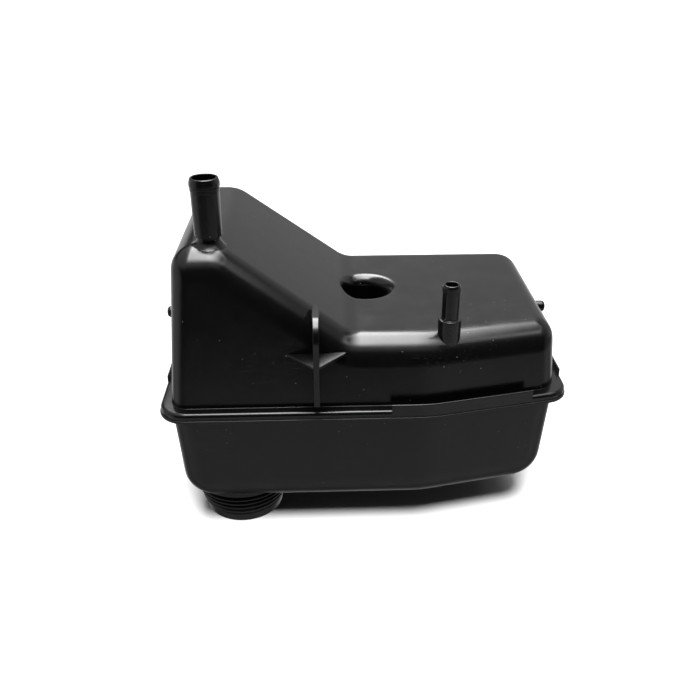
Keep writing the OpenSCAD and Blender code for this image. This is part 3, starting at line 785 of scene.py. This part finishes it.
def light_by_direction(n):
    """Strength of the light that comes from each direction: +X is right, +Y is the rear and +Z is up."""
    d = n.add("ShaderNodeSeparateXYZ", {"Vector": n.add("ShaderNodeTexCoord").outputs["Generated"]})
    x, y, z = d.outputs
    # softbox overhead, which reaches further right where it hangs lower
    corner = n.math("ADD", y, n.math("MAXIMUM", x, 0.0))
    reach = n.math("SUBTRACT", x, n.step(z, 0.90, 0.78, inside=0.22))
    softbox = n.product(n.step(corner, 0.84, 0.72), n.step(y, -0.48, -0.16), n.step(z, 0.50, 0.60),
                        n.spread(reach, 0.02, 0.45, 1, 0.008), n.step(x, -0.24, -0.16), 15.0)
    # grey wall at the rear and a weak glow that joins it to the right
    rear = n.product(n.step(y, -0.1, 0.35), n.step(z, -0.06, 0.06), n.step(z, 0.70, 0.60),
                     n.step(x, -0.21, -0.16, outside=0.12), 0.46)
    glow = n.product(n.step(y, -0.64, 0.30, inside=0.32), n.step(z, 0.20, 0.50), n.step(x, 0.50, 0.66))
    # bright band at the rear where the wall meets the floor; above the horizon it is on the left only
    beside = n.math("MAXIMUM", n.step(x, -0.22, -0.34), n.step(z, 0.0, -0.08))
    horizon = n.product(n.step(z, 0.24, 0.10, inside=0.8), n.step(y, 0.3, 0.6), beside)
    # glow high up at the front, which ends on the right
    front = n.product(n.step(y, -0.78, -0.55, inside=0.6), n.step(z, 0.45, 0.65), n.step(x, 0.55, 0.25))
    # pale floor before the object, then its right and left ends
    low = n.product(n.step(z, -0.30, -0.48, inside=0.50), n.step(z, -0.62, -0.50, outside=0.55),
                    n.step(y, 0.1, -0.1))
    right = n.product(n.spread(x, 0.02, 0.42, 0, 0.22), n.step(z, -0.20, -0.36),
                      n.step(z, -0.42, -0.37, outside=0.3))
    far_right = n.step(x, 0.85, 0.97, inside=0.20)
    left = n.product(n.step(x, -0.70, -0.95, inside=0.55), n.step(z, -0.6, -0.3, outside=0.3))
    light = n.math("ADD", softbox, n.math("MAXIMUM", rear, glow))
    for part in (low, horizon, front, right, far_right, left):
        light = n.math("ADD", light, part)
    return light


def studio():
    """World that lights by direction, while the camera sees a plain white one behind the floor."""
    world = bpy.data.worlds.new("studio")
    SCENE.world = world
    world.use_nodes = True
    n = Nodes(world.node_tree)
    white = (1, 1, 1, 1)
    lit = n.add("ShaderNodeBackground", {"Color": white, "Strength": light_by_direction(n)})
    plain = n.add("ShaderNodeBackground", {"Color": white, "Strength": 1.0})
    seen = n.add("ShaderNodeLightPath").outputs["Is Camera Ray"]
    both = n.add("ShaderNodeMixShader", {0: seen, 1: lit.outputs["Background"],
                                         2: plain.outputs["Background"]})
    n.add("ShaderNodeOutputWorld", {"Surface": both.outputs["Shader"]})


def floor_light(sheet):
    """Light from the front that falls on the floor alone, so that the shadow lies under the tank."""
    data = bpy.data.lights.new("floor_light", "SUN")
    data.energy = 20.0
    data.angle = math.radians(16)
    lamp = bpy.data.objects.new("floor_light", data)
    lamp.rotation_euler = (math.radians(29), 0, 0)
    COLLECTION.objects.link(lamp)
    only = bpy.data.collections.new("floor_only")
    only.objects.link(sheet)
    lamp.light_linking.receiver_collection = only


def camera():
    """Camera at the photograph's place and angle."""
    data = bpy.data.cameras.new("camera")
    data.sensor_width = 36
    data.lens = 41.14
    data.clip_start = 0.01
    eye = bpy.data.objects.new("camera", data)
    eye.location = (0.06945, -0.54597, 0.43185)
    eye.rotation_euler = (math.radians(61.89), 0, math.radians(-2.05))
    COLLECTION.objects.link(eye)
    SCENE.camera = eye


def floor():
    """Plain pale floor that doesn't show in reflections."""
    size = 30000
    sheet = make("floor", [(-size, -size, 0), (size, -size, 0), (size, size, 0), (-size, size, 0)],
                 [[0, 1, 2, 3]])
    sheet.data.materials.append(floor_material())
    sheet.visible_glossy = False
    floor_light(sheet)


camera()
studio()
floor()
SCENE.view_settings.view_transform = "Standard"
UPPER = plastic("upper_plastic", (0.003, 0.003, 0.0032), rough=0.20, bump=0.12, scuffs=0.3)
LOWER = plastic("lower_plastic", (0.006, 0.006, 0.0063), rough=0.38, bump=0.15, scuffs=0.2)
finish_piece(upper_shell(), "upper_shell_skin", "upper_shell", UPPER)
finish_piece(lower_shell(), "lower_shell_skin", "lower_shell", LOWER)
